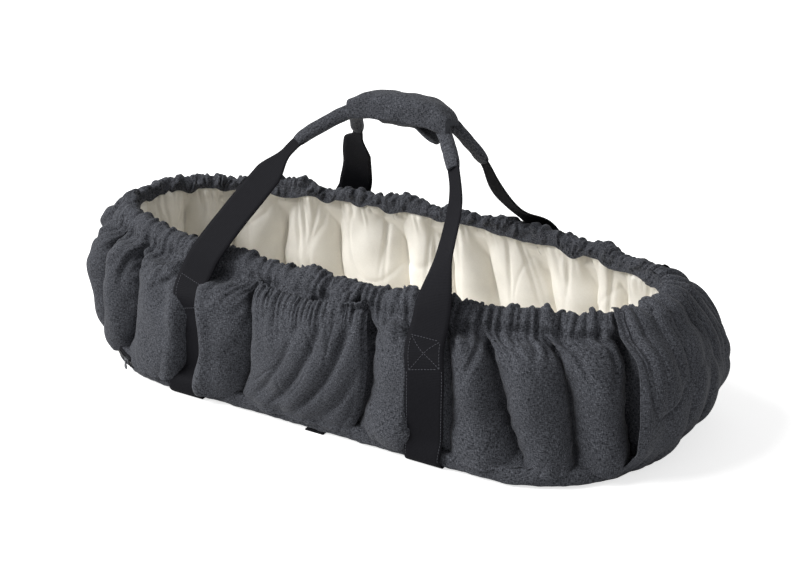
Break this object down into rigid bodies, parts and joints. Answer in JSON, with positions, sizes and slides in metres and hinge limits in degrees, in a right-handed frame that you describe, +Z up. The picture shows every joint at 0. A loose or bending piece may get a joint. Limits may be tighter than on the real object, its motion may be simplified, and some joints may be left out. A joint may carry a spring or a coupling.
{
  "type": "baby nest",
  "caption": "Soft carrying nest for a baby, with a stuffed channel wall, gathered rim, zipped base, side pockets, foot cover and two carry handles that meet in a padded grip.",
  "frame": {"origin": "middle of the footprint, on the surface that the nest lies on", "axes": "+X towards the foot end with the foot cover, +Y towards the back side, +Z up"},
  "size_m": [0.8419, 0.4102, 0.3614],
  "materials": {
    "outer_cloth": "charcoal chambray weave",
    "lining_cloth": "off-white cotton",
    "stuffing": "fibre filling",
    "webbing": "ribbed woven webbing",
    "elastic": "knitted elastic",
    "stiff_board": "pressed board",
    "padding": "felted padding",
    "zip_coil": "moulded coil",
    "zip_metal": "grey enamel",
    "hook_and_loop": "hook and loop tape"
  },
  "bodies": {
    "nest": {"outer_cover": "outer_cloth", "inner_lining": "lining_cloth", "rim_casing": "outer_cloth", "rim_elastic": "elastic", "base_cover": "outer_cloth", "base_board": "stiff_board", "base_padding": "padding", "channel_fill_01": "stuffing", "channel_fill_02": "stuffing", "channel_fill_03": "stuffing", "channel_fill_04": "stuffing", "channel_fill_05": "stuffing", "channel_fill_06": "stuffing", "channel_fill_07": "stuffing", "channel_fill_08": "stuffing", "channel_fill_09": "stuffing", "channel_fill_10": "stuffing", "channel_fill_11": "stuffing", "channel_fill_12": "stuffing", "channel_fill_13": "stuffing", "channel_fill_14": "stuffing", "channel_fill_15": "stuffing", "channel_fill_16": "stuffing", "channel_fill_17": "stuffing", "channel_fill_18": "stuffing", "channel_fill_19": "stuffing", "channel_fill_20": "stuffing", "channel_fill_21": "stuffing", "channel_fill_22": "stuffing", "channel_fill_23": "stuffing", "channel_fill_24": "stuffing", "head_strap_under": "webbing", "head_strap_front": "webbing", "head_strap_back": "webbing", "foot_strap_under": "webbing", "foot_strap_front": "webbing", "foot_strap_back": "webbing", "middle_strap": "webbing", "front_pocket": "outer_cloth", "front_pocket_elastic": "elastic", "back_pocket": "outer_cloth", "back_pocket_elastic": "elastic", "foot_cover": "outer_cloth", "zip_tape": "webbing", "zip_chain": "zip_coil"},
    "front_handle": {"front_handle_webbing": "webbing", "front_sleeve": "outer_cloth", "grip_wrap": "outer_cloth"},
    "back_handle": {"back_handle_webbing": "webbing", "back_sleeve": "outer_cloth", "sleeve_loop_tape": "hook_and_loop"},
    "wrap_flap": {"grip_flap": "outer_cloth", "flap_hook_tape": "hook_and_loop"},
    "zip_runner": {"zip_slider": "zip_metal"},
    "zip_tab": {"zip_pull": "zip_metal"},
    "loose_mattress": {"mattress": "lining_cloth"}
  },
  "joints": [
    {"name": "front_handle_swing", "type": "hinge", "parent": "nest", "child": "front_handle", "pos_m": [0, -0.16306, 0.149], "axis": [1, 0, 0], "range_deg": [0, 110]},
    {"name": "back_handle_swing", "type": "hinge", "parent": "nest", "child": "back_handle", "pos_m": [0, 0.16507, 0.149], "axis": [-1, 0, 0], "range_deg": [0, 110]},
    {"name": "grip_flap_turn", "type": "hinge", "parent": "front_handle", "child": "wrap_flap", "pos_m": [0.035, -0.0175, 0.32576], "axis": [-1, 0, 0], "range_deg": [0, 95]},
    {"name": "zip_slide", "type": "hinge", "parent": "nest", "child": "zip_runner", "pos_m": [-0.197, 0, 0.015], "axis": [0, 0, -1], "range_deg": [0, 128]},
    {"name": "zip_pull_swing", "type": "hinge", "parent": "zip_runner", "child": "zip_tab", "pos_m": [-0.27744, -0.16493, 0.015], "axis": [-0.8988, 0.4384, 0], "range_deg": [0, 100]},
    {"name": "mattress_lift", "type": "slide", "parent": "nest", "child": "loose_mattress", "axis": [0, 0, 1], "range_m": [0, 0.1]}
  ]
}
